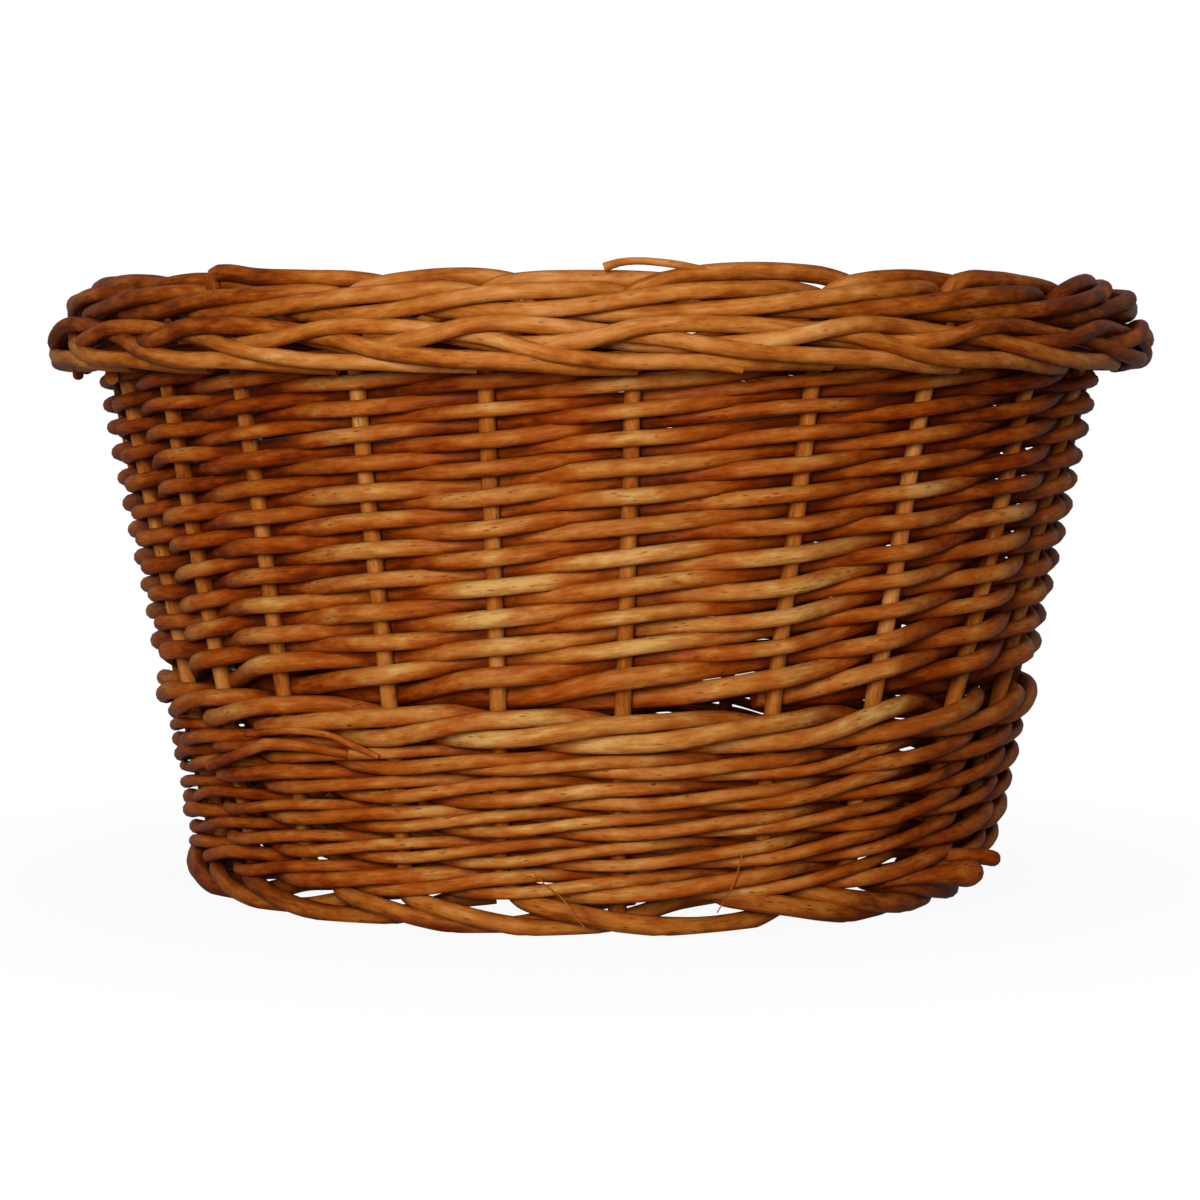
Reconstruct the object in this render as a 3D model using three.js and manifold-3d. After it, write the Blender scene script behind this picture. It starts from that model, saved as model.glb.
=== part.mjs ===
// A round willow basket with a rolled border and a small border underneath as its foot.
// Every rod is a solid of its own: 24 stakes, 24 side weavers, 6 waling rods, the base sticks
// and the 2 base weavers. Nothing is glued or nailed, each rod is held by the ones it passes.
// Millimetres, +Z up, the origin on the floor under the middle of the basket, the front at -Y.
import * as THREE from "three";
import { mergeVertices } from "three/addons/utils/BufferGeometryUtils.js";
import Module from "manifold-3d";

// Stakes and the spaces between them
const STAKES = 24;
const STAKE_DIAMETER = 4.8;
// The spaces at the front are as uneven as the maker left them, in degrees, from left to right.
const FIRST_FRONT_STAKE = -70.6;
const FRONT_SPACES = [13.4, 14.2, 16.6, 14.5, 15.3, 19.4, 14.7, 17.7, 16.1];

// The wall
const FLOOR_RADIUS = 136.2; // of the stakes' line, carried down to the floor
const WALL_LEAN = 0.2125; // outwards, for each millimetre up
const WALL_TOP = 186;
const ROD_GAP = 0.35; // between rods that press on each other
const SIDES = 4; // of a rod's section, one of them flat to the floor

// Side weave, one rod for each stake
const RAND_FIRST_FRONT = 86;
const RAND_STEP = 5.05; // rise from one stake to the next at the bottom
const RAND_TIGHTENING = 0.00069; // the rods thin out upwards, and the steps with them
const RAND_STAKES_PASSED = 24;

// Waling, three rods twisted round the stakes
const LOWER_WALE_BOTTOM = 15.4;
const LOWER_WALE_ROUNDS = 5;
const LOWER_WALE_ROD = 4.1;
const UPPER_WALE_BOTTOM = 61.9;
const UPPER_WALE_ROUNDS = 1;
const UPPER_WALE_ROD = 5.9;
const WALE_RODS = 3;
const WALE_GAP = 0.5; // the twisted rods need a little more room than the plain ones
const WALE_START = 17; // the stake at the back where the rods begin and end
const WALE_TUCK = 0.26; // spaces either side of a stake that a rod lies behind it
const STEP_UP = 4; // spaces in which a round climbs to the next, at the back

// Foot, the stakes' lower ends bent over to the right
const FOOT_ROD = 5;
const FOOT_WEAR = 0.5; // worn flat where it stands
const FOOT_ELBOW = 17.5; // height where the stake is straight again

// Border, the stakes' upper ends
const BORDER_ROD = 4.7;
const BORDER_TIP = 4;

// Base
const BASE_STICKS = 6; // three pushed through three split ones, opened out to twelve ends
const BASE_STICK = 4.8;
const BASE_HEIGHT = 20.5; // of the sticks' middle line
const BASE_CROSS = 10; // from the middle to where the sticks fan out
const BASE_ROD = 4.1;
const BASE_FIRST_ROUND = 26; // radius where the weaving starts

const WOOD = { color: 0xb5702c, roughness: 0.55, metalness: 0 };
const STAKE_WOOD = { color: 0xb97a38, roughness: 0.55, metalness: 0 };
const BASE_WOOD = { color: 0xa9692a, roughness: 0.6, metalness: 0 };

// Angle of a place counted in stakes, from the stake at the far left of the front
const stakeAngles = makeStakeAngles();

function makeStakeAngles() {
  const angles = [FIRST_FRONT_STAKE];
  for (const space of FRONT_SPACES) angles.push(angles.at(-1) + space);
  const spacesLeft = STAKES - FRONT_SPACES.length;
  const backSpace = (360 - (angles.at(-1) - FIRST_FRONT_STAKE)) / spacesLeft;
  while (angles.length < STAKES) angles.push(angles.at(-1) + backSpace);
  return angles;
}

function angleAt(place) {
  const turns = Math.floor(place / STAKES);
  const within = place - turns * STAKES;
  const stake = Math.floor(within);
  const next = stake + 1 < STAKES ? stakeAngles[stake + 1] : stakeAngles[0] + 360;
  const degrees = stakeAngles[stake] + (within - stake) * (next - stakeAngles[stake]);
  return THREE.MathUtils.degToRad(degrees + 360 * turns);
}

function pointAt(place, radius, height) {
  const angle = angleAt(place);
  return new THREE.Vector3(radius * Math.sin(angle), -radius * Math.cos(angle), height);
}

function wallRadius(height) {
  return FLOOR_RADIUS + WALL_LEAN * height;
}

// A rod along straight runs, with a flat towards the floor and a mitre at each bend
function rodGeometry(points, diameters) {
  const positions = [];
  const faces = [];
  const directions = points.slice(1).map((p, i) => p.clone().sub(points[i]).normalize());
  const turn = (2 * Math.PI) / SIDES;
  points.forEach((point, i) => {
    const before = directions[Math.max(i - 1, 0)];
    const after = directions[Math.min(i, directions.length - 1)];
    const along = before.clone().add(after).normalize();
    const outward = new THREE.Vector3(point.x, point.y, 0);
    outward.addScaledVector(along, -outward.dot(along)).normalize();
    const upward = along.clone().cross(outward).negate();
    for (let k = 0; k < SIDES; k++) {
      const angle = -Math.PI / 2 + turn * (k + 0.5);
      const corner = point.clone();
      corner.addScaledVector(outward, (diameters[i] / 2) * Math.cos(angle));
      corner.addScaledVector(upward, (diameters[i] / 2) * Math.sin(angle));
      positions.push(corner.x, corner.y, Math.max(corner.z, 0));
    }
  });
  for (let i = 0; i + 1 < points.length; i++) {
    for (let k = 0; k < SIDES; k++) {
      const a = i * SIDES + k;
      const b = i * SIDES + ((k + 1) % SIDES);
      faces.push(a, a + SIDES, b, b, a + SIDES, b + SIDES);
    }
  }
  const last = (points.length - 1) * SIDES;
  for (let k = 1; k + 1 < SIDES; k++) {
    faces.push(0, k, k + 1);
    faces.push(last, last + k + 1, last + k);
  }
  const geometry = new THREE.BufferGeometry();
  geometry.setAttribute("position", new THREE.Float32BufferAttribute(positions, 3));
  geometry.setIndex(faces);
  geometry.computeVertexNormals();
  return geometry;
}

const basket = new THREE.Group();

function addRod(name, points, diameters, wood) {
  const geometry = rodGeometry(points, diameters);
  const mesh = new THREE.Mesh(geometry, new THREE.MeshStandardMaterial(wood));
  mesh.name = name;
  basket.add(mesh);
}

// Border route of one stake: spaces passed, and rod diameters out from the wall's top and up
// from it. It bends right behind its neighbour, passes two in front, goes behind one, and is
// then plaited along the collar below: over one, under one, and along the bottom edge.
const BORDER_ROUTE = [
  [0, 0.55, 3.0],
  [0.04, 1.65, 4.62],
  [0.3, 1.52, 5.66],
  [0.65, 1.04, 6.12],
  [1.0, 0.48, 5.92],
  [1.32, 0.47, 5.11],
  [1.6, 1.6, 4.3],
  [1.9, 2.69, 3.98],
  [2.4, 3.27, 4.32],
  [3.0, 3.3, 5.04],
  [3.5, 2.7, 5.4],
  [3.8, 1.6, 5.22],
  [4.02, 0.32, 4.62],
  [4.2, 0.17, 3.86],
  [4.45, 0.97, 3.13],
  [4.8, 2.2, 2.52],
  [5.2, 3.2, 2.18],
  [5.65, 4.68, 2.61],
  [6.05, 4.47, 3.42],
  [6.5, 3.5, 3.39],
  [7.0, 3.77, 2.05],
  [7.4, 4.55, 1.3],
  [7.9, 4.53, 0.73],
  [8.4, 4.1, 0.3],
  [8.9, 3.43, 0.1],
];

// Foot route of one stake, from its cut end: spaces passed, and rod diameters out from the
// stakes' line and up from where the worn rods lie
const FOOT_ROUTE = [
  [2.0, -1.6, 0.85],
  [1.45, -0.75, 0],
  [1.1, 0.3, 0],
  [0.7, 1.1, 0.5],
  [0.35, 0.6, 1.45],
  [0.04, 0, 2.15],
];

function stakePoints(stake) {
  const points = [];
  const diameters = [];
  const lying = (FOOT_ROD / 2) * Math.cos(Math.PI / SIDES) - FOOT_WEAR;
  for (const [spaces, out, up] of FOOT_ROUTE) {
    const radius = wallRadius(0) + out * FOOT_ROD;
    points.push(pointAt(stake + spaces, radius, lying + up * FOOT_ROD));
    diameters.push(FOOT_ROD);
  }
  for (const height of [FOOT_ELBOW, WALL_TOP]) {
    points.push(pointAt(stake, wallRadius(height), height));
    diameters.push(STAKE_DIAMETER);
  }
  const length = BORDER_ROUTE.length - 1;
  BORDER_ROUTE.forEach(([spaces, out, up], i) => {
    const radius = wallRadius(WALL_TOP) + out * BORDER_ROD;
    points.push(pointAt(stake + spaces, radius, WALL_TOP + up * BORDER_ROD));
    diameters.push(THREE.MathUtils.lerp(BORDER_ROD, BORDER_TIP, i / length));
  });
  return { points, diameters };
}

for (let stake = 0; stake < STAKES; stake++) {
  const { points, diameters } = stakePoints(stake);
  const name = "stake_" + String(stake + 1).padStart(2, "0");
  addRod(name, points, diameters, STAKE_WOOD);
}

// Side weave: each rod passes in front of one stake and behind the next, and climbs
function randHeight(passed) {
  return RAND_FIRST_FRONT + RAND_STEP * passed - RAND_TIGHTENING * passed ** 3;
}

function randRod(passed) {
  const later = Math.max(passed, 0);
  return RAND_STEP - 3 * RAND_TIGHTENING * later ** 2 - ROD_GAP;
}

for (let rod = 0; rod < STAKES; rod++) {
  const points = [];
  const diameters = [];
  for (let passed = -1; passed < RAND_STAKES_PASSED; passed++) {
    const height = randHeight(passed);
    const diameter = randRod(passed);
    const side = passed % 2 === 0 ? 1 : -1;
    const off = side * (STAKE_DIAMETER / 2 + diameter / 2 + ROD_GAP);
    points.push(pointAt(rod + passed, wallRadius(height) + off, height));
    diameters.push(diameter);
  }
  addRod("side_weaver_" + String(rod + 1).padStart(2, "0"), points, diameters, WOOD);
}

// Waling: each rod passes in front of two stakes and behind one. Rounds lie level, and climb
// to the next in the last spaces of each round.
function addWale(name, bottom, rounds, diameter) {
  const half = (diameter + WALE_GAP) / 2;
  const pitch = 4 * half;
  const off = STAKE_DIAMETER / 2 + diameter / 2 + ROD_GAP;
  const room = rounds > 1 ? STEP_UP + WALE_RODS - 1 : 1;
  const climb = (passed) => {
    if (rounds === 1) return 0;
    const round = Math.floor(passed / STAKES);
    const intoStep = (passed - round * STAKES - (STAKES - STEP_UP)) / STEP_UP;
    return pitch * (round + THREE.MathUtils.smoothstep(intoStep, 0, 1));
  };
  for (let rod = 0; rod < WALE_RODS; rod++) {
    const points = [];
    const diameters = [];
    const add = (passed, side, lift) => {
      const height = bottom + pitch / 2 + climb(passed) + lift * half;
      const radius = wallRadius(height) + side * off;
      points.push(pointAt(WALE_START + passed, radius, height));
      diameters.push(diameter);
    };
    for (let passed = rod; passed < rounds * STAKES - room + rod; passed++) {
      const turn = (passed + 2 * rod) % WALE_RODS;
      if (turn === 0) add(passed, 1, -1);
      if (turn === 1) add(passed, 1, 1);
      if (turn === 2) {
        add(passed - WALE_TUCK, -1, 1);
        add(passed + WALE_TUCK, -1, -1);
      }
    }
    addRod(name + "_" + (rod + 1), points, diameters, WOOD);
  }
}

addWale("lower_wale_rod", LOWER_WALE_BOTTOM, LOWER_WALE_ROUNDS, LOWER_WALE_ROD);
addWale("upper_wale_rod", UPPER_WALE_BOTTOM, UPPER_WALE_ROUNDS, UPPER_WALE_ROD);

// Base: six sticks crossed three through three, and two rods that chase each other outwards,
// over one stick end and under the next. The stick ends bear on the waling between stakes.
const wasm = await Module();
wasm.setup();

function toSolid(geometry) {
  geometry.deleteAttribute("normal");
  geometry.deleteAttribute("uv");
  const merged = mergeVertices(geometry, 1e-4);
  const vertProperties = merged.attributes.position.array;
  const triVerts = new Uint32Array(merged.index.array);
  return new wasm.Manifold(new wasm.Mesh({ numProp: 3, vertProperties, triVerts }));
}

function toGeometry(solid) {
  const mesh = solid.getMesh();
  const geometry = new THREE.BufferGeometry();
  geometry.setAttribute("position", new THREE.Float32BufferAttribute(mesh.vertProperties, 3));
  geometry.setIndex([...mesh.triVerts]);
  geometry.computeVertexNormals();
  return geometry;
}

// A straight stick between two points, with rounded-off sides
function stickSolid(from, to, diameter) {
  const length = from.distanceTo(to);
  const geometry = new THREE.CylinderGeometry(diameter / 2, diameter / 2, length, 6);
  const along = to.clone().sub(from).normalize();
  const turn = new THREE.Quaternion().setFromUnitVectors(new THREE.Vector3(0, 1, 0), along);
  geometry.applyQuaternion(turn);
  const middle = from.clone().add(to).multiplyScalar(0.5);
  geometry.translate(middle.x, middle.y, middle.z);
  return toSolid(geometry);
}

const STICK_ENDS = 2 * BASE_STICKS;
const GROUP = BASE_STICKS / 2;
const STICK_SEAT = STAKE_DIAMETER / 2 + LOWER_WALE_ROD / 2 + 2 * ROD_GAP;

// Where one stick end leaves the cross, and where it bears on the waling between two stakes
function stickRun(end) {
  const way = end < BASE_STICKS ? 1 : -1;
  const stick = end % BASE_STICKS;
  const middle = Math.floor(stick / GROUP) * GROUP + (GROUP - 1) / 2;
  const place = (e) => (e * STAKES) / STICK_ENDS + 0.5;
  const axis = pointAt(place(middle), 1, 0);
  const side = new THREE.Vector3(-axis.y, axis.x, 0);
  const bend = new THREE.Vector3(0, 0, BASE_HEIGHT)
    .addScaledVector(axis, way * BASE_CROSS)
    .addScaledVector(side, way * (stick - middle) * BASE_STICK);
  const tip = pointAt(place(end), wallRadius(BASE_HEIGHT) - STICK_SEAT, BASE_HEIGHT);
  return { bend, tip };
}

function oppositeEnd(end) {
  const middle = Math.floor(end / GROUP) * GROUP + (GROUP - 1) / 2;
  return 2 * middle - end + BASE_STICKS;
}

function addBaseSticks() {
  let sticks = null;
  for (let end = 0; end < BASE_STICKS; end++) {
    const near = stickRun(end);
    const far = stickRun(oppositeEnd(end));
    const lap = near.bend.clone().sub(far.bend).normalize().multiplyScalar(BASE_STICK / 4);
    const runs = [
      stickSolid(near.tip, near.bend.clone().sub(lap), BASE_STICK),
      stickSolid(near.bend, far.bend, BASE_STICK),
      stickSolid(far.bend.clone().add(lap), far.tip, BASE_STICK),
    ];
    for (const run of runs) sticks = sticks ? sticks.add(run) : run;
  }
  const mesh = new THREE.Mesh(toGeometry(sticks), new THREE.MeshStandardMaterial(BASE_WOOD));
  mesh.name = "base_sticks";
  basket.add(mesh);
}

// Where a base weaver crosses a stick end, at a radius of its own
function overStick(end, radius, height) {
  const { bend, tip } = stickRun(end % STICK_ENDS);
  const inner = Math.hypot(bend.x, bend.y);
  const share = (radius - inner) / (Math.hypot(tip.x, tip.y) - inner);
  const point = bend.lerp(tip, share);
  point.z = 0;
  point.setLength(radius);
  point.z = height;
  return point;
}

function addBaseWeavers() {
  const pitch = 2 * (BASE_ROD + ROD_GAP);
  const seat = STAKE_DIAMETER / 2 + LOWER_WALE_ROD + 2 * ROD_GAP;
  const edge = wallRadius(BASE_HEIGHT) - seat - BASE_ROD / 2 - ROD_GAP;
  const across = (BASE_STICK + BASE_ROD) / 2 + ROD_GAP;
  for (let rod = 0; rod < 2; rod++) {
    const points = [];
    const diameters = [];
    for (let passed = 0; ; passed++) {
      const radius = BASE_FIRST_ROUND + pitch * (rod / 2 + passed / STICK_ENDS);
      if (radius > edge) break;
      const space = (2 * Math.PI * radius) / STICK_ENDS;
      const steep = Math.sqrt(1 - ((2 * across) / space) ** 2);
      const side = (passed + rod) % 2 === 0 ? 1 : -1;
      const height = BASE_HEIGHT + (side * across) / steep;
      points.push(overStick(passed, radius, height));
      diameters.push(BASE_ROD);
    }
    addRod("base_weaver_" + (rod + 1), points, diameters, BASE_WOOD);
  }
}

addBaseSticks();
addBaseWeavers();

basket.name = "woven_basket";
export default basket;
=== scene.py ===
# A round willow basket, rod by rod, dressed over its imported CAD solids.
# Metres, +Z up, the front at -Y. Each rod replaces the CAD node that holds its place.
import math

import bpy
import numpy as np
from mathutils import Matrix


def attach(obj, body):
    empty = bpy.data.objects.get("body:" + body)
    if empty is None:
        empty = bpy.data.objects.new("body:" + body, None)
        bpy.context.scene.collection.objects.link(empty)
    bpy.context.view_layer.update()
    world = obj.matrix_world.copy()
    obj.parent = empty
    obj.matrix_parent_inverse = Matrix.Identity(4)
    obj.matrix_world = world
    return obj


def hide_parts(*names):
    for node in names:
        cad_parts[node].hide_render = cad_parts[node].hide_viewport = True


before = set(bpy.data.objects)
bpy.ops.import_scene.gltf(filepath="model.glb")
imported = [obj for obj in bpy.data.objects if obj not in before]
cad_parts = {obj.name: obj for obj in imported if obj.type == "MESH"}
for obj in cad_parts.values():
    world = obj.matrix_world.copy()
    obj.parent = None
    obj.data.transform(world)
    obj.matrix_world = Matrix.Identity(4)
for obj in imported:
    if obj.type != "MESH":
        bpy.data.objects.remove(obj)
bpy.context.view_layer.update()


# ---------------------------------------------------------------------------------------------
# The view: the camera stands a little over a metre in front, at the height of the wall's top,
# and looks slightly down. The floor is white paper that keeps a faint shadow of the basket.
# ---------------------------------------------------------------------------------------------
EYE = (0.0012, -1.217, 0.1856)
FOCAL_LENGTH = 3306 / 1200  # in widths of the picture
LOOK_DOWN = math.atan(232 / 3306)
SENSOR_WIDTH = 36
AIM = (0, 0, 0.12)  # what the lamps point at, inside the basket
ROOM = 0.14  # the plain light from all round
REFLECTED = 0.2  # how bright the paper is in the willow's varnish
SHADOW = {"From Min": 0.12, "From Max": 0.3, "To Min": 0.94, "To Max": 1}  # metres out, white
FLOOR_REACH = 3.0
FLOOR_GREY = 0.35  # what the floor gives back to the basket


def add_node(tree, kind, inputs=None, **settings):
    """A node with its settings made and its inputs set or linked."""
    made = tree.nodes.new(kind)
    for setting, value in settings.items():
        setattr(made, setting, value)
    for name, value in (inputs or {}).items():
        if isinstance(value, bpy.types.NodeSocket):
            tree.links.new(value, made.inputs[name])
        else:
            made.inputs[name].default_value = value
    return made


def calculate(tree, operation, first, second=0.0, third=0.0):
    """The result of one Math node."""
    inputs = {0: first, 1: second, 2: third}
    return add_node(tree, "ShaderNodeMath", inputs, operation=operation).outputs[0]


bpy.context.scene.view_settings.view_transform = "Standard"

camera_data = bpy.data.cameras.new("camera")
camera_data.sensor_width = SENSOR_WIDTH
camera_data.lens = FOCAL_LENGTH * SENSOR_WIDTH
camera = bpy.data.objects.new("camera", camera_data)
camera.location = EYE
camera.rotation_euler = (math.pi / 2 - LOOK_DOWN, 0, 0)
bpy.context.collection.objects.link(camera)
bpy.context.scene.camera = camera


def add_lamp(name, place, size, power):
    """A soft square lamp that points at the basket."""
    data = bpy.data.lights.new(name, "AREA")
    data.size = size
    data.energy = power
    lamp = bpy.data.objects.new(name, data)
    lamp.location = place
    direction = np.subtract(AIM, place)
    flat = math.hypot(direction[0], direction[1])
    lamp.rotation_euler = (
        math.pi / 2 + math.atan2(direction[2], flat),
        0,
        math.atan2(direction[1], direction[0]) - math.pi / 2,
    )
    bpy.context.collection.objects.link(lamp)


add_lamp("front_lamp", (-0.26, -1.5, 0.46), size=0.5, power=18)
add_lamp("top_lamp", (-0.1, -0.7, 1.9), size=0.8, power=6)


def paper_seen(tree):
    """Full where the camera sees the white paper, and a little where the varnish does."""
    path = add_node(tree, "ShaderNodeLightPath").outputs
    sheen = calculate(tree, "MULTIPLY", path["Is Glossy Ray"], REFLECTED)
    return calculate(tree, "MAXIMUM", path["Is Camera Ray"], sheen)


world = bpy.data.worlds.new("studio")
bpy.context.scene.world = world
world.use_nodes = True
tree = world.node_tree
tree.nodes.clear()
seen = paper_seen(tree)
room = add_node(tree, "ShaderNodeBackground", {"Color": (1, 1, 1, 1), "Strength": ROOM})
paper = add_node(tree, "ShaderNodeBackground", {"Color": (1, 1, 1, 1), "Strength": 1})
both = add_node(tree, "ShaderNodeMixShader", {0: seen, 1: room.outputs[0], 2: paper.outputs[0]})
add_node(tree, "ShaderNodeOutputWorld", {"Surface": both.outputs[0]})

floor_mesh = bpy.data.meshes.new("floor")
corners = [(x * FLOOR_REACH, y * FLOOR_REACH, 0) for x, y in ((-1, -1), (1, -1), (1, 1), (-1, 1))]
floor_mesh.from_pydata(corners, [], [(0, 1, 2, 3)])
floor = bpy.data.objects.new("floor", floor_mesh)
bpy.context.collection.objects.link(floor)

floor_paper = bpy.data.materials.new("floor_paper")
floor_paper.use_nodes = True
tree = floor_paper.node_tree
tree.nodes.clear()
place = add_node(tree, "ShaderNodeTexCoord").outputs["Object"]
distance = add_node(tree, "ShaderNodeVectorMath", {0: place}, operation="LENGTH").outputs["Value"]
away = add_node(tree, "ShaderNodeMapRange", {"Value": distance, **SHADOW}).outputs["Result"]
white = calculate(tree, "MULTIPLY", paper_seen(tree), away)
lit = add_node(tree, "ShaderNodeBsdfDiffuse", {"Color": (FLOOR_GREY, FLOOR_GREY, FLOOR_GREY, 1)})
plain = add_node(tree, "ShaderNodeEmission", {"Color": (1, 1, 1, 1), "Strength": 1})
both = add_node(tree, "ShaderNodeMixShader", {0: white, 1: lit.outputs[0], 2: plain.outputs[0]})
add_node(tree, "ShaderNodeOutputMaterial", {"Surface": both.outputs[0]})
floor_mesh.materials.append(floor_paper)


# ---------------------------------------------------------------------------------------------
# The stakes: 24 willow rods that stand in the wall. Each one's lower end is bent over to the
# right under its neighbours as a foot, and its upper end is rolled into the border. A stake is
# peeled willow, buff-boiled and varnished: honey brown, with darker stains and small buds.
# ---------------------------------------------------------------------------------------------
STAKES = 24
STAKE_DIAMETER = 0.0048
FIRST_FRONT_STAKE = -70.6  # degrees from the front, to the right
FRONT_SPACES = [13.4, 14.2, 16.6, 14.5, 15.3, 19.4, 14.7, 17.7, 16.1]  # degrees
FLOOR_RADIUS = 0.1362
WALL_LEAN = 0.2125  # outwards for each metre up
WALL_TOP = 0.186
ASKEW = 0.016  # sideways for each metre up: the foot lies to the left of the rim

back_space = (360 - sum(FRONT_SPACES)) / (STAKES - len(FRONT_SPACES))
spaces_round = FRONT_SPACES + [back_space] * (STAKES - len(FRONT_SPACES))
stake_angles = FIRST_FRONT_STAKE + np.concatenate([[0], np.cumsum(spaces_round)])

chance = np.random.default_rng(24)


def wall_radius(height):
    """From the axis to the line of the stakes."""
    return FLOOR_RADIUS + WALL_LEAN * height


def angle_at(place):
    """Radians round the basket of places counted in stakes."""
    turns = np.floor(np.asarray(place, float) / STAKES)
    within = np.asarray(place, float) - turns * STAKES
    return np.radians(np.interp(within, np.arange(STAKES + 1), stake_angles) + 360 * turns)


# The maker's hand: the whole weave drifts a little up, down, in and out, all rods together.
WAVES = [
    # waves round, radians a metre up, start, millimetres up, millimetres out
    (2, 9, 3.4, 0.3, 0.5),
    (5, 22, 2.1, 0.3, -0.35),
    (8, -31, 4.0, 0.3, 0.3),
    (13, 47, 1.3, 0.25, 0.3),
    (19, -60, 5.2, 0.2, -0.25),
]


def settle(places, radii, heights):
    """Points from places counted in stakes, radii and heights, with the weave's drift."""
    angles = angle_at(places)
    lift = np.zeros(len(angles))
    bulge = np.zeros(len(angles))
    for count, up, start, high, out in WAVES:
        wave = np.sin(count * angles + up * heights + start)
        lift += wave * high / 1000
        bulge += wave * out / 1000
    free = np.clip((heights - 0.004) / 0.05, 0, 1)  # the foot lies flat on the floor
    radii = radii + bulge * free
    heights = heights + lift * free
    askew = ASKEW * (heights - 0.1)
    return np.stack([radii * np.sin(angles) + askew, -radii * np.cos(angles), heights], axis=1)


def smooth(rows, spacing, scale=(1, 1, 1)):
    """A smooth line through rows of numbers; the first three times scale are metres."""
    rows = np.array(rows, float)
    reach = np.linalg.norm(np.diff(rows[:, :3] * scale, axis=0), axis=1)
    knots = np.append(0, np.cumsum(reach))
    slopes = np.diff(rows, axis=0) / reach[:, None]
    before, after = reach[:-1, None], reach[1:, None]
    inner = (slopes[:-1] * after + slopes[1:] * before) / (before + after)
    tangents = np.vstack([slopes[:1], inner, slopes[-1:]])
    at = np.linspace(0, knots[-1], max(2, round(knots[-1] / spacing) + 1))
    i = np.clip(np.searchsorted(knots, at, side="right") - 1, 0, len(reach) - 1)
    t = ((at - knots[i]) / reach[i])[:, None]
    h = reach[i][:, None]
    return (
        (2 * t**3 - 3 * t**2 + 1) * rows[i]
        + (t**3 - 2 * t**2 + t) * h * tangents[i]
        + (3 * t**2 - 2 * t**3) * rows[i + 1]
        + (t**3 - t**2) * h * tangents[i + 1]
    )


def drift(count, every, size):
    """A gentle random run of count numbers that changes about every so many."""
    marks = max(4, round(count / every) + 3)
    rows = np.stack([np.arange(marks), chance.normal(0, size, marks), np.zeros(marks)], axis=1)
    line = smooth(rows, marks / count / 4, (1, 0, 0))
    return np.interp(np.linspace(1, marks - 2, count), line[:, 0], line[:, 1])


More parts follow.
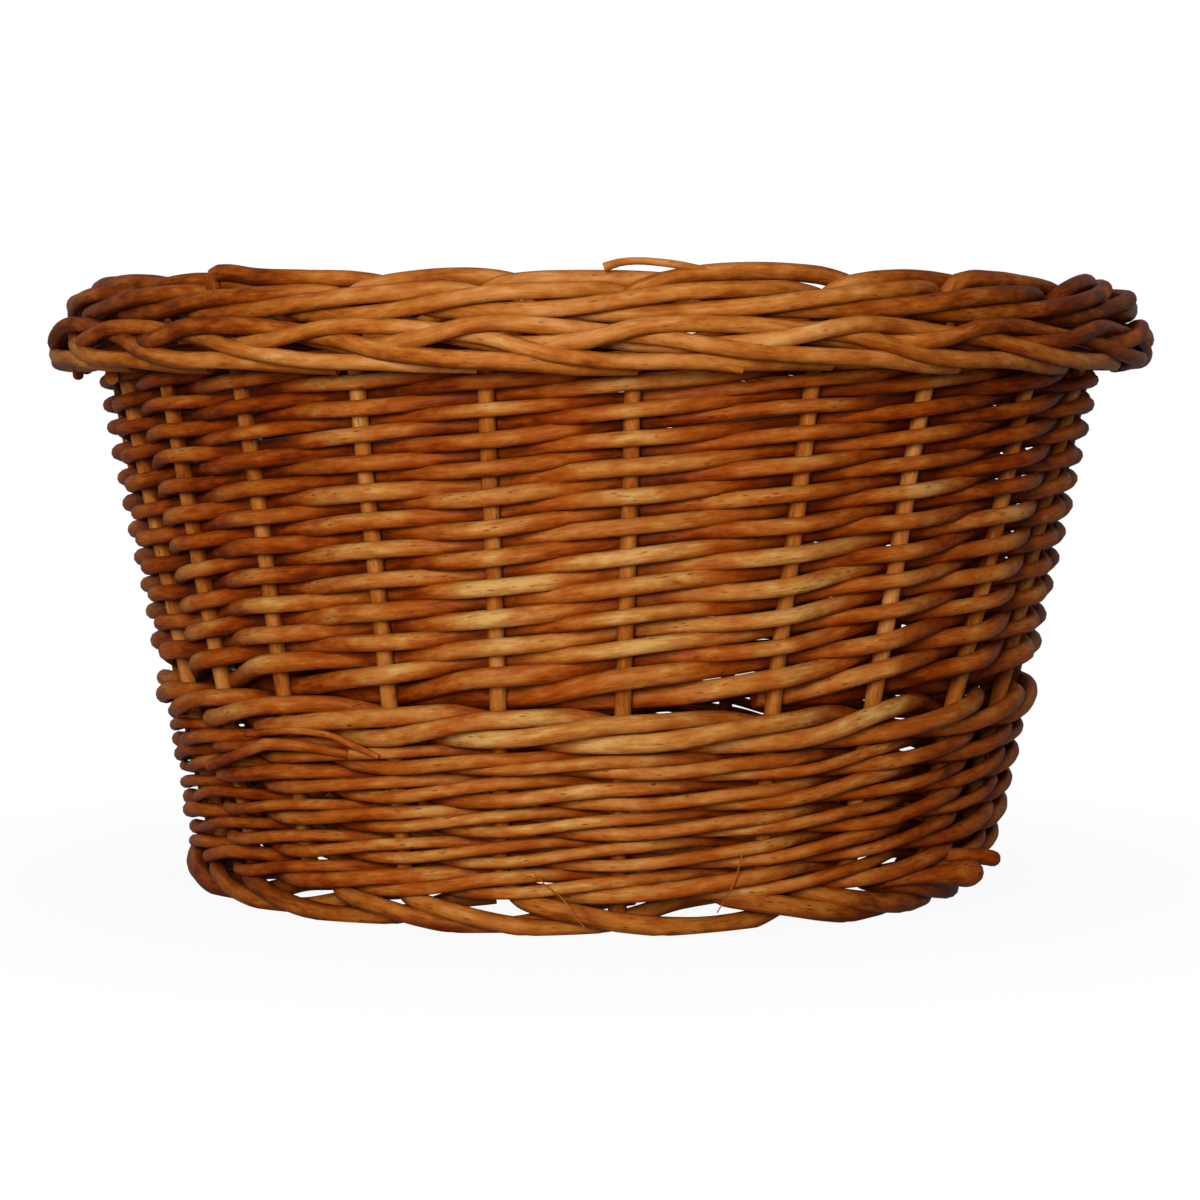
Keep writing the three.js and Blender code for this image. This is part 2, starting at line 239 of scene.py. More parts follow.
def willow(name, dark, red, honey, light, pale, roughness):
    """Varnished willow: long grain, blotches where stain and varnish gathered, and buds."""
    material = bpy.data.materials.new(name)
    material.use_nodes = True
    tree = material.node_tree
    tree.nodes.clear()
    grain = add_node(tree, "ShaderNodeAttribute", attribute_name="grain").outputs["Vector"]
    tone = add_node(tree, "ShaderNodeAttribute", attribute_name="tone").outputs["Fac"]
    # stain value: each rod's own tone, with painted shade where it goes behind others, under the
    # border and at the basket's two ends
    stain_and_shade = add_node(tree, "ShaderNodeAttribute", attribute_name="stain_and_shade").outputs["Fac"]

    def along(stretch):
        return add_node(
            tree, "ShaderNodeMapping", {"Vector": grain, "Scale": (1, 1, stretch)}
        ).outputs["Vector"]

    def noise(vector, scale, detail, rough):
        values = {"Vector": vector, "Scale": scale, "Detail": detail, "Roughness": rough}
        return add_node(tree, "ShaderNodeTexNoise", values).outputs["Fac"]

    fibres = noise(along(0.1), 1200, 3, 0.6)
    blotches = noise(along(0.4), 70, 3, 0.55)
    mottle = noise(along(0.4), 330, 3, 0.62)
    # painted highlight: what faces up and out is painted lighter; painted shade: the stain value
    # darkens where rods meet and go behind each other
    normal = add_node(tree, "ShaderNodeNewGeometry").outputs["Normal"]
    upward = add_node(tree, "ShaderNodeSeparateXYZ", {0: normal}).outputs["Z"]
    place = add_node(tree, "ShaderNodeTexCoord").outputs["Object"]
    level = add_node(tree, "ShaderNodeVectorMath", {0: place, 1: (1, 1, 0)}, operation="MULTIPLY")
    out = add_node(tree, "ShaderNodeVectorMath", {0: level.outputs[0]}, operation="NORMALIZE")
    outward = add_node(
        tree, "ShaderNodeVectorMath", {0: normal, 1: out.outputs[0]}, operation="DOT_PRODUCT"
    ).outputs["Value"]
    outward = calculate(tree, "MAXIMUM", outward, -0.3)
    front = add_node(tree, "ShaderNodeSeparateXYZ", {0: out.outputs[0]}).outputs["Y"]
    # painted shade: the two ends of the basket, to the left and right, are painted darker than its
    # front and back
    away = calculate(tree, "MULTIPLY_ADD", calculate(tree, "ABSOLUTE", front), -1.5, 1.5)
    shade = calculate(tree, "MULTIPLY_ADD", blotches, 1.2, -0.75)
    for cause, weight in (
        (mottle, 0.8),
        (fibres, 0.5),
        (tone, 0.1),
        (stain_and_shade, -0.38),
        (upward, 0.11),
        (outward, 0.22),
        (calculate(tree, "MINIMUM", away, 0.5), -0.49),
    ):
        shade = calculate(tree, "MULTIPLY_ADD", cause, weight, shade)
    ramp = add_node(tree, "ShaderNodeValToRGB", {"Fac": shade})
    stops = ramp.color_ramp.elements
    stops[0].color, stops[1].color = (*dark, 1), (*pale, 1)
    for position, colour in ((0.25, red), (0.52, honey), (0.78, light)):
        stops.new(position).color = (*colour, 1)

    def spots(scale, stretch, size, share):
        """Small dark marks, in a share of the pattern's cells."""
        cell = add_node(
            tree, "ShaderNodeTexVoronoi", {"Vector": along(stretch), "Scale": scale}
        ).outputs
        values = {"Value": cell["Distance"], "From Min": size, "From Max": size * 0.35}
        mark = add_node(tree, "ShaderNodeMapRange", values).outputs["Result"]
        lot = add_node(tree, "ShaderNodeSeparateColor", {0: cell["Color"]}).outputs[0]
        chosen = calculate(tree, "LESS_THAN", lot, share)
        return calculate(tree, "MULTIPLY", mark, chosen)

    specks = spots(850, 0.2, 0.26, 0.6)
    patch = add_node(
        tree, "ShaderNodeMapRange", {"Value": blotches, "From Min": 0.42, "From Max": 0.56}
    ).outputs["Result"]
    specks = calculate(tree, "MULTIPLY", specks, patch)
    buds = spots(240, 0.4, 0.14, 0.12)
    marks = calculate(tree, "MAXIMUM", calculate(tree, "MULTIPLY", specks, 0.8), buds)
    marked = add_node(
        tree,
        "ShaderNodeMix",
        {"Factor": marks, 6: ramp.outputs["Color"], 7: (0.045, 0.012, 0.004, 1)},
        data_type="RGBA",
    ).outputs[2]

    relief = calculate(tree, "MULTIPLY_ADD", mottle, 0.7, calculate(tree, "MULTIPLY", fibres, 0.5))
    relief = calculate(tree, "SUBTRACT", relief, calculate(tree, "MULTIPLY", marks, 0.4))
    values = {"Height": relief, "Distance": 0.00035, "Strength": 0.5}
    bump = add_node(tree, "ShaderNodeBump", values)
    gloss = calculate(tree, "MULTIPLY_ADD", mottle, 0.2, roughness - 0.1)
    surface = add_node(
        tree,
        "ShaderNodeBsdfPrincipled",
        {
            "Base Color": marked,
            "Roughness": gloss,
            "Normal": bump.outputs[0],
            "Specular IOR Level": 0.05,
        },
    )
    add_node(tree, "ShaderNodeOutputMaterial", {"Surface": surface.outputs[0]})
    return material


stake_willow = willow(
    "stake_willow",
    dark=(0.12, 0.018, 0.0015),
    red=(0.26, 0.053, 0.004),
    honey=(0.43, 0.13, 0.017),
    light=(0.56, 0.225, 0.057),
    pale=(0.68, 0.35, 0.125),
    roughness=0.42,
)


def rod_tree():
    """Geometry Nodes that turn lines with a thickness into round rods of willow."""
    group = bpy.data.node_groups.new("willow_rods", "GeometryNodeTree")
    for way, name, kind in (
        ("INPUT", "Lines", "Geometry"),
        ("INPUT", "Sides", "Int"),
        ("INPUT", "Unevenness", "Float"),
        ("INPUT", "Seed", "Int"),
        ("INPUT", "Finish", "Material"),
        ("OUTPUT", "Rods", "Geometry"),
    ):
        group.interface.new_socket(name, in_out=way, socket_type="NodeSocket" + kind)
    given = add_node(group, "NodeGroupInput").outputs

    def named(name, kind):
        return add_node(
            group, "GeometryNodeInputNamedAttribute", {"Name": name}, data_type=kind
        ).outputs["Attribute"]

    def stored(geometry, name, kind, value):
        inputs = {"Geometry": geometry, "Name": name, "Value": value}
        store = "GeometryNodeStoreNamedAttribute"
        return add_node(group, store, inputs, data_type=kind, domain="POINT").outputs[0]

    lines = add_node(group, "GeometryNodeMeshToCurve", {"Mesh": given["Lines"]}).outputs[0]
    length = named("along", "FLOAT")
    start = calculate(group, "MULTIPLY_ADD", given["Seed"], 7.31, length)
    lump = add_node(
        group,
        "ShaderNodeTexNoise",
        {"W": start, "Scale": 45.0, "Detail": 2.0},
        noise_dimensions="1D",
    ).outputs["Fac"]
    lump = calculate(group, "SUBTRACT", lump, 0.5)
    swell = calculate(group, "MULTIPLY_ADD", lump, given["Unevenness"], 1.0)
    radius = calculate(group, "MULTIPLY", named("thick", "FLOAT"), 0.5)
    radius = calculate(group, "MULTIPLY", radius, swell)

    ring = add_node(
        group, "GeometryNodeCurvePrimitiveCircle", {"Resolution": given["Sides"], "Radius": 1.0}
    ).outputs["Curve"]
    spot = add_node(group, "GeometryNodeInputPosition").outputs[0]
    ring = stored(ring, "around", "FLOAT_VECTOR", spot)
    # the radius is kept on the line, so that the grain keeps its scale on a thin tip
    lines = stored(lines, "reach", "FLOAT", radius)
    rods = add_node(
        group,
        "GeometryNodeCurveToMesh",
        {
            "Curve": lines,
            "Profile Curve": ring,
            "Scale": named("reach", "FLOAT"),
            "Fill Caps": True,
        },
    ).outputs[0]
    across = add_node(
        group,
        "ShaderNodeVectorMath",
        {0: named("around", "FLOAT_VECTOR"), "Scale": named("reach", "FLOAT")},
        operation="SCALE",
    ).outputs[0]
    onward = add_node(group, "ShaderNodeCombineXYZ", {"Z": named("along", "FLOAT")}).outputs[0]
    grain = add_node(group, "ShaderNodeVectorMath", {0: across, 1: onward}, operation="ADD")
    rods = stored(rods, "grain", "FLOAT_VECTOR", grain.outputs[0])
    # worn flat where the basket stands
    parts = add_node(group, "ShaderNodeSeparateXYZ", {0: spot}).outputs
    wear_and_side_shade = calculate(group, "MAXIMUM", parts["Z"], 0.0)
    kept = add_node(group, "ShaderNodeCombineXYZ", {"X": parts["X"], "Y": parts["Y"], "Z": wear_and_side_shade})
    rods = add_node(
        group, "GeometryNodeSetPosition", {"Geometry": rods, "Position": kept.outputs[0]}
    ).outputs[0]
    rods = add_node(
        group, "GeometryNodeSetShadeSmooth", {"Geometry": rods, "Shade Smooth": True}
    ).outputs[0]
    rods = add_node(group, "GeometryNodeRealizeInstances", {"Geometry": rods}).outputs[0]
    rods = add_node(
        group, "GeometryNodeSetMaterial", {"Geometry": rods, "Material": given["Finish"]}
    ).outputs[0]
    add_node(group, "NodeGroupOutput", {"Rods": rods})
    return group


willow_rods = rod_tree()


class Rod:
    """One rod's middle line: points, and thickness, tone, and stain with painted shade along its
    length.
    """

    def __init__(self, points, thick, tone, stain_and_shade):
        self.points = np.asarray(points)
        count = len(self.points)
        self.thick = np.broadcast_to(thick, count)
        self.stain_and_shade = np.broadcast_to(stain_and_shade, count)
        self.tone = np.full(count, tone)
        run = np.linalg.norm(np.diff(self.points, axis=0), axis=1)
        self.along = np.append(0, np.cumsum(run)) + chance.uniform(0, 40)


def loose(rows):
    """A loose strand from places, and radii, heights and thicknesses in millimetres."""
    line = smooth([(place, *np.array(rest) / 1000) for place, *rest in rows], 0.002, (0.04, 1, 1))
    return Rod(settle(line[:, 0], line[:, 1], line[:, 2]), line[:, 3], 0.0, 0.3)


def weave(piece, rods, node, finish, sides, unevenness, seed):
    """Makes one piece of the basket from its rods, in place of the CAD node."""
    mesh = bpy.data.meshes.new(piece + "_lines")
    counts = [len(rod.points) for rod in rods]
    starts = np.cumsum([0] + counts)
    firsts = [i for start, count in zip(starts, counts) for i in range(start, start + count - 1)]
    edges = [(i, i + 1) for i in firsts]
    mesh.from_pydata(np.concatenate([rod.points for rod in rods]).tolist(), edges, [])
    for name in ("thick", "along", "tone", "stain_and_shade"):
        values = np.concatenate([getattr(rod, name) for rod in rods]).astype(np.float32)
        mesh.attributes.new(name, "FLOAT", "POINT").data.foreach_set("value", values)
    lines = bpy.data.objects.new(piece + "_lines", mesh)
    bpy.context.collection.objects.link(lines)
    modifier = lines.modifiers.new("rods", "NODES")
    modifier.node_group = willow_rods
    wanted = {"Sides": sides, "Unevenness": unevenness, "Seed": seed, "Finish": finish}
    for socket in willow_rods.interface.items_tree:
        if socket.in_out == "INPUT" and socket.name in wanted:
            modifier[socket.identifier] = wanted[socket.name]
    shaped = lines.evaluated_get(bpy.context.evaluated_depsgraph_get())
    made = bpy.data.meshes.new_from_object(shaped)
    made.name = piece
    lines.modifiers.clear()
    bpy.data.objects.remove(lines)
    bpy.data.meshes.remove(mesh)
    for face in made.polygons:
        face.use_smooth = len(face.vertices) == 4  # and the cut ends are flat
    rod = bpy.data.objects.new(piece, made)
    bpy.context.collection.objects.link(rod)
    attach(rod, "root")
    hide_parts(node)


# The foot, from a stake's cut end: spaces passed, rods out from the stakes' line and rods up.
FOOT_ROD = 0.0054
FOOT_LYING = 0.0019
FOOT_ELBOW = 0.0175
FOOT_FULLNESS = (1.13, 1.26)  # of the first four feet, at the left, and of the others
FOOT_ROUTE = [
    (2.9, -1.9, 1.5),
    (2.5, -1.2, 1.2),
    (2.2, -0.4, 0.6),
    (1.9, 0.3, 0.12),
    (1.6, 0.95, 0.0),
    (1.3, 1.5, 0.12),
    (0.95, 1.85, 0.5),
    (0.55, 1.8, 1.05),
    (0.2, 1.25, 1.5),
    (0.04, 0.45, 1.85),
]
CUT_STAKE = 5  # this one's foot broke off: it stands as a stub behind the others
STUB_ROUTE = [(0.03, -0.3, 0.0), (0.01, -0.1, 0.9)]
# The foot is pulled round at the front, in spaces to the right from the first front stake on,
# and pushed in at the right.
FOOT_PULL = [0, -0.1, 0.25, -0.05, 0.08, 0, -0.3, -0.6, -0.75, -0.7, -0.4, -0.2, 0]
FOOT_PUSHED, PUSHED_PLACE = 0.006, 10.3

# The border: right behind the neighbour, in front of two, behind one, then plaited along the
# collar. Spaces passed, rods out from the wall's top and rods up from it.
BORDER_ROD = 0.0047
BORDER_THICK = (0.0059, 0.0054)  # at its start and at its end
BORDER_START = [
    (0, 0.55, 3.0),
    (0.02, 1.4, 4.7),
    (0.1, 1.62, 5.25),
    (0.28, 1.5, 5.68),
    (0.52, 1.25, 5.93),
    (0.76, 0.95, 6.0),
    (1.0, 0.55, 5.9),
    (1.2, 0.42, 5.6),
]
# Three rods of the front start otherwise: one folded sharply, one split, one bent hard.
ODD_STARTS = {
    2: [
        (-0.03, 0.6, 3.0),
        (-0.07, 1.2, 4.7),
        (-0.09, 1.45, 5.9),
        (-0.07, 1.5, 6.45),
        (0.02, 1.48, 6.6),
        (0.3, 1.35, 6.4),
        (0.7, 1.0, 6.2),
        (1.05, 0.65, 6.0),
        (1.25, 0.45, 5.65),
    ],
    5: [
        (0, 0.55, 3.0),
        (-0.05, 1.4, 4.6),
        (0.05, 1.62, 5.3),
        (0.28, 1.5, 5.95),
        (0.52, 1.25, 6.25),
        (0.76, 0.95, 6.35),
        (1.0, 0.6, 6.15),
        (1.2, 0.45, 5.7),
    ],
    7: [
        (0, 0.55, 3.0),
        (0.0, 1.4, 4.9),
        (0.04, 1.6, 5.6),
        (0.14, 1.55, 5.95),
        (0.4, 1.35, 6.05),
        (0.76, 0.95, 6.0),
        (1.0, 0.55, 5.9),
        (1.2, 0.42, 5.6),
    ],
}
BORDER_ROUTE = [
    (1.4, 0.65, 4.85),
    (1.6, 1.6, 4.05),
    (1.9, 2.5, 3.7),
    (2.3, 3.05, 3.78),
    (2.6, 3.25, 4.07),
    (2.85, 3.36, 4.45),
    (3.15, 3.3, 4.85),
    (3.5, 2.8, 5.08),
    (3.8, 1.65, 5.15),
    (4.02, 0.35, 4.65),
    (4.2, 0.17, 3.8),
    (4.45, 0.97, 2.9),
    (4.8, 2.15, 2.1),
    (5.2, 3.2, 1.55),
    (5.65, 4.65, 1.82),
    (6.05, 4.5, 2.75),
    (6.4, 3.8, 2.76),
    (6.75, 3.5, 2.4),
    (7.1, 3.95, 1.95),
    (7.4, 4.5, 1.2),
    (7.85, 4.58, 0.55),
    (8.3, 4.1, 0.4),
    (8.7, 3.2, 0.15),
    (9.0, 2.4, 0.1),
]

# A strip of one rod's border has split off and stands up in a flat loop, and cut tips show
# under the collar. Place, and millimetres from the axis, up and thick.
LOOSE_ENDS = {
    0: [
        [(-0.12, 191, 189.5, 4.4), (-0.27, 190.5, 186, 4.2), (-0.36, 190, 182.8, 3.8)],
        [(0.05, 176, 187, 5), (0.2, 180, 183.5, 5.6), (0.28, 183, 181.8, 5.2)],
    ],
    1: [[(1.1, 168, 187, 4), (1.2, 172, 184, 4.6), (1.27, 174.5, 182, 4.6)]],
    5: [
        [(4.79, 184, 217.4, 3.0), (4.87, 184.4, 218.7, 2.6), (4.98, 184.6, 219.2, 2.4),
         (5.15, 184.2, 218.2, 2.5), (5.38, 183, 215.2, 2.8)],
        [(5.28, 193.5, 188, 4.4), (5.4, 194.5, 186.4, 3.8), (5.5, 194.5, 184.8, 2.4)],
    ],
    7: [[(7.32, 168, 187, 4), (7.25, 172, 184.3, 4.4), (7.2, 174.5, 183, 4.4)]],
    9: [[(9.3, 184, 190, 1.6), (9.42, 188, 186.5, 1.6), (9.45, 188.5, 184, 1.3)]],
}

WALL_THICK = 1.18 * STAKE_DIAMETER
# Heights of the foot's top, the wall's two ends and the border's start, and how much darker the
# stake is made there: most on the foot, as painted shade by the floor.
BANDS = [0.016, 0.02, 0.187, 0.193]
BAND_DARKENING = [0.8, 0.5, 0.5, 0.3]
SIDE_SHADE_SHIFT = [0, 1.6, 1.6, -1.45]  # painted side shade: taken off the wall, added to the border when negative

for stake in range(STAKES):
    foot_thick = FOOT_ROD * FOOT_FULLNESS[0 if stake < 4 else 1] * chance.uniform(0.96, 1.04)
    rows = []
    pull = FOOT_PULL[stake] if stake < len(FOOT_PULL) else 0
    for spaces, out, up in STUB_ROUTE if stake == CUT_STAKE else FOOT_ROUTE:
        height = FOOT_LYING + up * FOOT_ROD
        pushed = FOOT_PUSHED * math.exp(-((stake + spaces - PUSHED_PLACE) ** 2) / 4)
        radius = FLOOR_RADIUS + out * FOOT_ROD - pushed
        rows.append((stake + spaces + pull, radius, height, foot_thick))
    for height in (FOOT_ELBOW, 0.04, 0.08, 0.12, 0.16, WALL_TOP):
        rows.append((stake, wall_radius(height), height, WALL_THICK))
    size = chance.uniform(0.94, 1.08)
    border = ODD_STARTS.get(stake, BORDER_START) + BORDER_ROUTE
    for i, (spaces, out, up) in enumerate(border):
        share = i / (len(border) - 1)
        radius = wall_radius(WALL_TOP) + out * BORDER_ROD
        thick = size * (BORDER_THICK[0] * (1 - share) + BORDER_THICK[1] * share)
        rows.append((stake + spaces, radius, WALL_TOP + up * BORDER_ROD, thick))
    line = smooth(rows, 0.0022, (0.045, 1, 1))
    count = len(line)
    sway = np.clip((line[:, 2] - 0.02) / 0.02, 0, 1)
    radii = line[:, 1] + drift(count, 30, 0.0003) * sway
    heights = line[:, 2] + drift(count, 30, 0.0003) * np.clip((line[:, 2] - 0.18) / 0.02, 0, 1)
    points = settle(line[:, 0], radii, heights)
    # painted shade: to the left and right of the front the border is painted darker and the wall
    # lighter, against the material's painted darkening of the two ends
    facing = np.cos(angle_at(line[:, 0]))
    wear_and_side_shade = np.clip(1.5 - 1.5 * facing, 0, 0.4) * np.clip((facing + 0.1) / 0.4, 0, 1)
    stain_and_shade = np.interp(line[:, 2], BANDS, BAND_DARKENING) - wear_and_side_shade * np.interp(line[:, 2], BANDS, SIDE_SHADE_SHIFT)
    rods = [Rod(points, line[:, 3], chance.normal(0, 0.8), stain_and_shade)]
    rods += [loose(rows) for rows in LOOSE_ENDS.get(stake, [])]
    number = f"{stake + 1:02d}"
    weave("willow_stake_" + number, rods, "stake_" + number, stake_willow,
          sides=14, unevenness=0.07, seed=stake + 1)


# ---------------------------------------------------------------------------------------------
# The lower waling: three thinner rods twisted round the stakes for five rounds, each in front
# of two stakes and behind one. They are of whole willow, stained red brown under the varnish,
# and nothing but their own spring holds them. They set the wall's shape and carry the base.
# ---------------------------------------------------------------------------------------------
LOWER_WALE_BOTTOM = 0.0154
LOWER_WALE_ROUNDS = 5
LOWER_WALE_ROD = 0.0041
WALE_RODS = 3
WALE_GAP = 0.0005
WALE_START = 17  # the stake it begins at, round the back
WALE_TUCK = 0.26  # how far to each side of a stake it goes in behind it, in spaces
STEP_UP = 4  # the stakes over which one round climbs onto the last
WALE_TIP = 10  # the stakes over which it thins to a tip
ROD_GAP = 0.00035

weaver_willow = willow(
    "weaver_willow",
    dark=(0.10, 0.013, 0.001),
    red=(0.24, 0.035, 0.001),
    honey=(0.385, 0.088, 0.009),
    light=(0.5, 0.19, 0.037),
    pale=(0.63, 0.34, 0.10),
    roughness=0.44,
)


def smoothstep(value):
    """From 0 to 1 with no corner at either end."""
    value = np.clip(value, 0, 1)
    return value * value * (3 - 2 * value)


def wale_rod(rod, bottom, rounds, diameter, thick, tone):
    """One waling rod; thick gives its thickness for each stake passed."""
    half = (diameter + WALE_GAP) / 2
    pitch = 4 * half
    off = STAKE_DIAMETER / 2 + diameter / 2 + ROD_GAP
    rows = []

    def add(passed, side, lift):
        """One point of the rod: outside or inside the stakes, high or low in its round."""
        climb = 0
        if rounds > 1:
            turn = math.floor(passed / STAKES)
            into = (passed - turn * STAKES - (STAKES - STEP_UP)) / STEP_UP
            climb = pitch * (turn + (smoothstep(into) if turn < rounds - 1 else 0))
        height = bottom + pitch / 2 + climb + lift * half
        radius = wall_radius(height) + side * off
        tip = 0.35 * smoothstep((passed - rounds * STAKES + WALE_TIP) / 8) if rounds > 1 else 0
        rows.append((WALE_START + passed, radius, height, thick[int(passed)] * (1 - tip)))

    add(rod - 0.55, -1, -0.4)  # begun behind a stake
    ends_short = WALE_RODS if rounds > 1 else 0
    for passed in range(rod, rounds * STAKES - ends_short + rod):
        turn = (passed + 2 * rod) % WALE_RODS
        if turn == 0:
            add(passed, 1, -1)
        if turn == 1:
            add(passed, 1, 1)
        if turn == 2:
            add(passed - WALE_TUCK, -1, 1)
            add(passed + WALE_TUCK, -1, -1)
    line = smooth(rows, 0.0028, (0.04, 1, 1))
    # pressed down on the foot, and a little higher on the left
    right = np.sin(angle_at(line[:, 0]))
    pressed = np.clip((0.052 - line[:, 2]) / 0.036, 0, 1)
    line[:, 2] -= 0.0002 + 0.0009 * right + (0.0044 - 0.0022 * right) * pressed
    points = settle(line[:, 0], line[:, 1], line[:, 2] + drift(len(line), 14, 0.0004))
    # painted shade: the rod is painted darker where it goes in behind a stake
    inside = np.clip((wall_radius(line[:, 2]) - line[:, 1]) / off, 0, 1)
    return Rod(points, line[:, 3], tone, 1.1 * inside - 0.1)


# Strands that stand out at the front: a rod kinked where it cracked, a splinter, the butts of two
# rods that stick out at the right, and hair-thin fibres that hang over the foot.
LOOSE_STRANDS = [
    [
        [(1, 156.5, 48.8, 4.2), (1.9, 159.5, 58.8, 4.2), (1.98, 160, 59.6, 4.4),
         (2.1, 159.8, 59.8, 4.2), (2.45, 158.6, 59.6, 3.6), (2.7, 156, 58.6, 3)],
        [(7.9, 143, 18, 4.8), (8.3, 150, 16.3, 5.6), (8.5, 154.5, 14.9, 6), (8.57, 156, 14, 5.6),
         (8.61, 156.6, 13.4, 4.2), (8.63, 156.9, 13, 2)],
    ],
    [
        [(1.68, 158.5, 62.2, 2.2), (2.5, 160.5, 65, 2.4), (2.6, 160.3, 64.8, 2.3),
         (2.8, 159, 62, 2.2), (2.97, 157, 58.8, 1.9)],
        [(7.3, 144, 12.6, 5.4), (7.8, 149, 11.9, 5.8), (7.98, 151, 11.5, 7.6),
         (8.1, 152, 11.3, 9.4), (8.2, 153, 11, 9.5), (8.27, 154, 11, 8.2), (8.31, 154.6, 11, 5.6),
         (8.34, 155, 11, 2)],
    ],
    [
        [(4.3, 150, 21, 0.4), (4.4, 151, 17.5, 0.5), (4.55, 152, 13, 0.5), (4.64, 153, 8, 0.4),
         (4.75, 152, 3, 0.3)],
        [(5.8, 151, 27, 0.5), (5.75, 151, 18, 0.5), (5.63, 152, 8, 0.4)],
    ],
]

for rod in range(WALE_RODS):
    passed = LOWER_WALE_ROUNDS * STAKES + WALE_RODS + 1
    thick = LOWER_WALE_ROD * (1.18 + np.clip(drift(passed, 6, 0.24), -0.2, 0.28))
    rods = [wale_rod(rod, LOWER_WALE_BOTTOM, LOWER_WALE_ROUNDS, LOWER_WALE_ROD, thick, -1.0)]
    rods += [loose(rows) for rows in LOOSE_STRANDS[rod]]
    number = str(rod + 1)
    weave("willow_lower_wale_" + number, rods, "lower_wale_rod_" + number,
          weaver_willow, sides=10, unevenness=0.09, seed=40 + rod)


# ---------------------------------------------------------------------------------------------
# The upper waling: one round of three thick butts above the lower waling, woven in the same
# way, of the same willow. It locks the waling and gives the side weavers a level start.
# ---------------------------------------------------------------------------------------------
UPPER_WALE_BOTTOM = 0.0619
UPPER_WALE_ROD = 0.0059

for rod in range(WALE_RODS):
    thick = UPPER_WALE_ROD * (1.05 + np.clip(drift(STAKES + WALE_RODS + 1, 6, 0.05), -0.1, 0.1))
    rods = [wale_rod(rod, UPPER_WALE_BOTTOM, 1, UPPER_WALE_ROD, thick, 0.5)]
    number = str(rod + 1)
    weave("willow_upper_wale_" + number, rods, "upper_wale_rod_" + number,
          weaver_willow, sides=12, unevenness=0.08, seed=50 + rod)


# ---------------------------------------------------------------------------------------------
# The side weave: 24 rods of the same willow, one begun behind each stake. Each goes in front of
# one stake and behind the next all the way round, climbs as it goes, and thins from butt to tip.
# ---------------------------------------------------------------------------------------------
RAND_FIRST_FRONT = 0.086  # its height over the stake it was begun at
RAND_STEP = 0.00505  # up for each stake passed
RAND_TIGHTENING = 0.00000069
RAND_STAKES_PASSED = 24
RAND_SAMPLES = 16  # along one space
SHORT_BUTT = 7  # leaves a slit of light over the upper waling
KINKED_STAKES = 6.6  # the rods are bent sharply, and thinner, over the two stakes about here

for rod in range(STAKES):
    begun = -1.1 if rod == SHORT_BUTT else -1.97
    passed = np.linspace(begun, RAND_STAKES_PASSED - 1, (RAND_STAKES_PASSED + 1) * RAND_SAMPLES)
    places = rod + passed
    from_kink = (places - KINKED_STAKES + STAKES / 2) % STAKES - STAKES / 2
    climb = np.maximum(passed, -1)
    heights = RAND_FIRST_FRONT + RAND_STEP * climb - RAND_TIGHTENING * climb**3
    room = RAND_STEP - 3 * RAND_TIGHTENING * np.maximum(passed, 0) ** 2 - ROD_GAP
    size = chance.uniform(0.93, 1.09)
    fullness = 1.27 + 0.2 * smoothstep(1 - passed) + drift(len(passed), 20, 0.05)
    slack = 0.1 * np.sin(angle_at(places) / 2) ** 2  # the back is woven a little looser
    slack += 0.07 * smoothstep(passed) * np.exp(-(from_kink**2) / 1.5)
    thick = room * size * (fullness - slack)
    off = STAKE_DIAMETER / 2 + room / 2 + ROD_GAP
    # the butts lie inside, out of the next one's way
    inside = -1.1 - 0.9 * smoothstep(-1 - passed)
    sweep = np.where(passed < -1, inside, np.cos(np.pi * passed))
    peaked = 1 - 2 * np.abs(passed - np.round(passed))
    peaked = peaked * np.where(np.round(passed) % 2 == 0, 1, -1)
    peaked = np.where(passed < -1, inside, peaked)
    kink = 0.35 + 0.55 * np.exp(-(from_kink**2) / 1.2)
    side = sweep * (1 - kink) + peaked * kink
    heights = heights + drift(len(passed), 12, 0.00028)
    heights -= 0.003 * smoothstep(-passed)  # the butts are tucked in low, on the waling
    points = settle(places, wall_radius(heights) + side * off, heights)
    # painted shade and highlight: a rod is painted darker where it goes in behind a stake, lighter
    # where it lies out in front, and darker at the top of the wall, under the border
    behind = np.clip((1 - side) / 2, 0, 1)
    stain_and_shade = 1.35 * behind - 0.3 + 0.45 * smoothstep((heights - 0.13) / 0.05)
    rods = [Rod(points, thick, chance.normal(0, 0.9), stain_and_shade)]
    number = f"{rod + 1:02d}"
    weave("willow_side_weaver_" + number, rods, "side_weaver_" + number,
          weaver_willow, sides=10, unevenness=0.08, seed=60 + rod)


# ---------------------------------------------------------------------------------------------
# The base: six thick willow sticks, three pushed through slits in the other three and opened
# out like a fan, and two thin rods that chase each other round them. It is darker than the wall,
# since no hand rubs it. The stick ends rest on the lower waling, between the stakes.
# ---------------------------------------------------------------------------------------------
BASE_STICKS = 6
BASE_STICK = 0.0048
BASE_HEIGHT = 0.0205
BASE_CROSS = 0.016  # from the middle to where the sticks open out
BASE_PART = 0.0008  # the split sticks part round the others
BASE_ROD = 0.0041
BASE_FIRST_ROUND = 0.0195
BASE_BEATEN = 1.55  # rods from round to round, beaten down onto each other
STICK_ENDS = 2 * BASE_STICKS
GROUP = BASE_STICKS // 2
STICK_SEAT = STAKE_DIAMETER / 2 + LOWER_WALE_ROD / 2 + 2 * ROD_GAP

base_willow = willow(
    "base_willow",
    dark=(0.08, 0.008, 0.0004),
    red=(0.19, 0.036, 0.002),
    honey=(0.35, 0.10, 0.011),
    light=(0.48, 0.19, 0.04),
    pale=(0.60, 0.30, 0.09),
    roughness=0.5,
)


def middle_of(end):
    """The middle of the group of sticks that has this end."""
    return end // GROUP * GROUP + (GROUP - 1) / 2


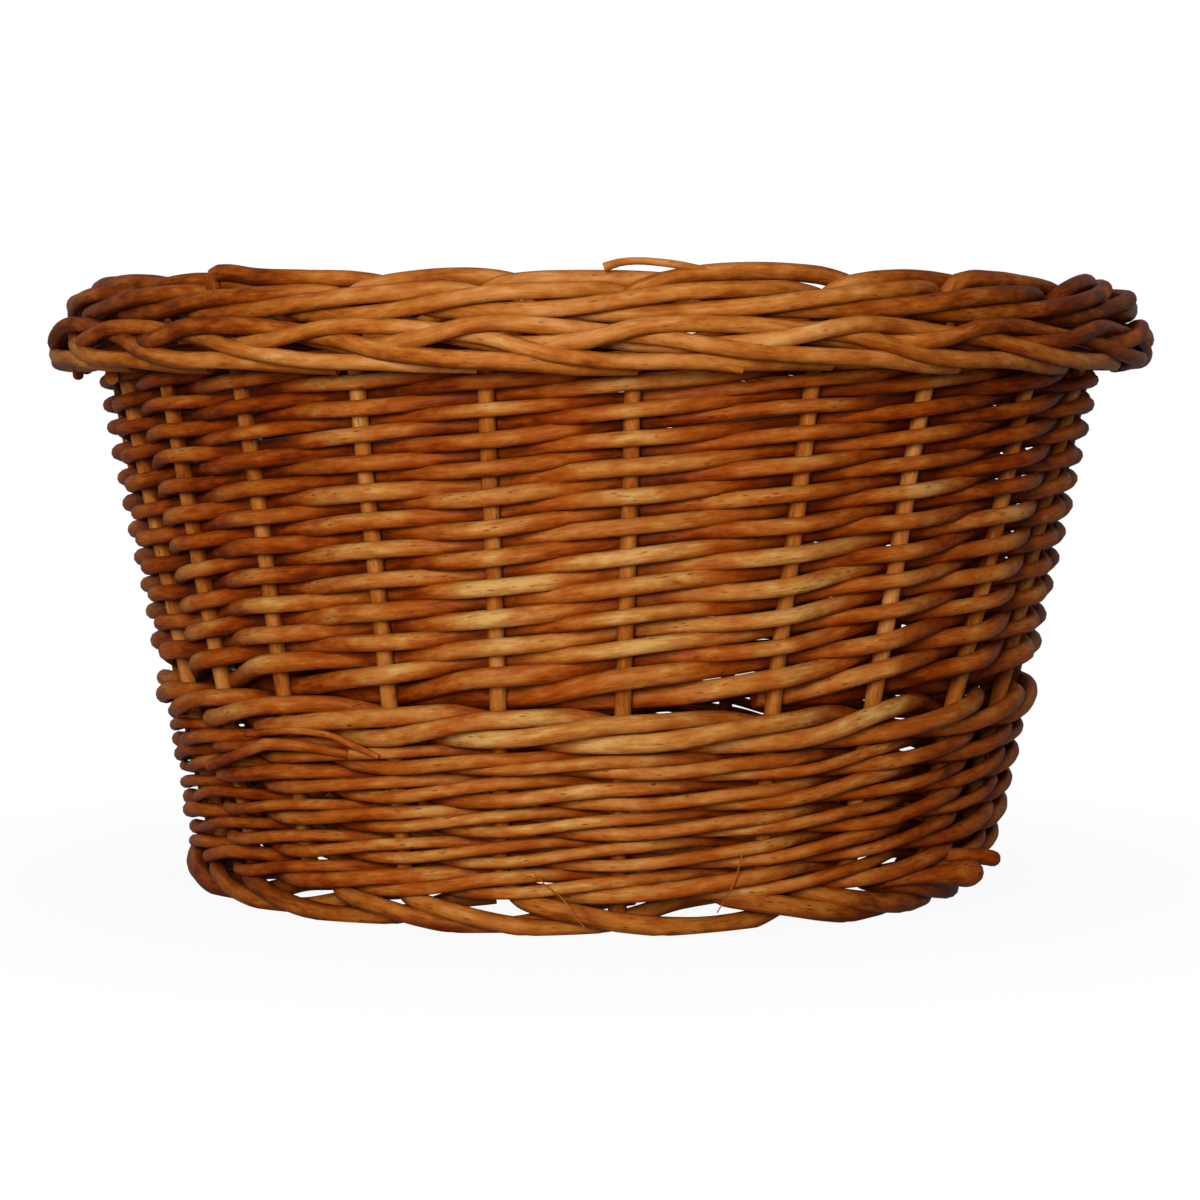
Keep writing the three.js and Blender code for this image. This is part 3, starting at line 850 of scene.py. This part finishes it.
def stick_run(end):
    """Where one stick end leaves the cross, and where it bears on the waling."""
    way = 1 if end < BASE_STICKS else -1
    stick = end % BASE_STICKS
    turn = float(angle_at(middle_of(stick) * STAKES / STICK_ENDS + 0.5))
    axis = np.array([math.sin(turn), -math.cos(turn), 0])
    side = np.array([-axis[1], axis[0], 0])
    bend = way * (axis * BASE_CROSS + side * (stick - middle_of(stick)) * BASE_STICK)
    turn = float(angle_at(end * STAKES / STICK_ENDS + 0.5))
    reach = wall_radius(BASE_HEIGHT) - STICK_SEAT
    tip = np.array([math.sin(turn) * reach, -math.cos(turn) * reach, 0])
    up = np.array([0, 0, BASE_HEIGHT])
    return bend + up, tip + up


sticks = []
for end in range(BASE_STICKS):
    near_bend, near_tip = stick_run(end)
    far_bend, far_tip = stick_run(int(2 * middle_of(end) - end) + BASE_STICKS)
    through = -BASE_PART if end < GROUP else BASE_PART
    middle = (near_bend + far_bend) / 2 + np.array([0, 0, through])
    line = smooth([near_tip, near_bend, middle, far_bend, far_tip], 0.004)
    sticks.append(Rod(line, BASE_STICK * chance.uniform(0.98, 1.04), chance.normal(0, 0.6), 0.3))
weave("willow_base_sticks", sticks, "base_sticks", base_willow,
      sides=12, unevenness=0.06, seed=90)

pitch = BASE_BEATEN * (BASE_ROD + ROD_GAP)
seat = STAKE_DIAMETER / 2 + LOWER_WALE_ROD + 2 * ROD_GAP
edge = wall_radius(BASE_HEIGHT) - seat - BASE_ROD / 2 - ROD_GAP
across = 0.84 * ((BASE_STICK + BASE_ROD) / 2 + ROD_GAP)  # pressed onto the sticks
for rod in range(2):
    rows = []
    passed = 0
    while True:
        radius = BASE_FIRST_ROUND + pitch * (rod / 2 + passed / STICK_ENDS)
        if radius > edge:
            break
        bend, tip = stick_run(passed % STICK_ENDS)
        inner = math.hypot(bend[0], bend[1])
        share = (radius - inner) / (math.hypot(tip[0], tip[1]) - inner)
        point = bend + (tip - bend) * share
        point = point * radius / math.hypot(point[0], point[1])
        side = 1 if (passed + rod) % 2 == 0 else -1
        turn = math.atan2(point[0], -point[1])
        if rows:
            turn += 2 * math.pi * round((rows[-1][0] - turn) / (2 * math.pi) + 0.1)
        rows.append((turn, radius, BASE_HEIGHT + side * across))
        passed += 1
    line = smooth(rows, 0.003, (0.08, 1, 1))
    points = np.stack(
        [line[:, 1] * np.sin(line[:, 0]), -line[:, 1] * np.cos(line[:, 0]), line[:, 2]], axis=1
    )
    thick = BASE_ROD * (1.08 + drift(len(line), 60, 0.06))
    number = str(rod + 1)
    weave("willow_base_weaver_" + number, [Rod(points, thick, 0.0, 0.25)],
          "base_weaver_" + number, base_willow, sides=8, unevenness=0.1,
          seed=95 + rod)
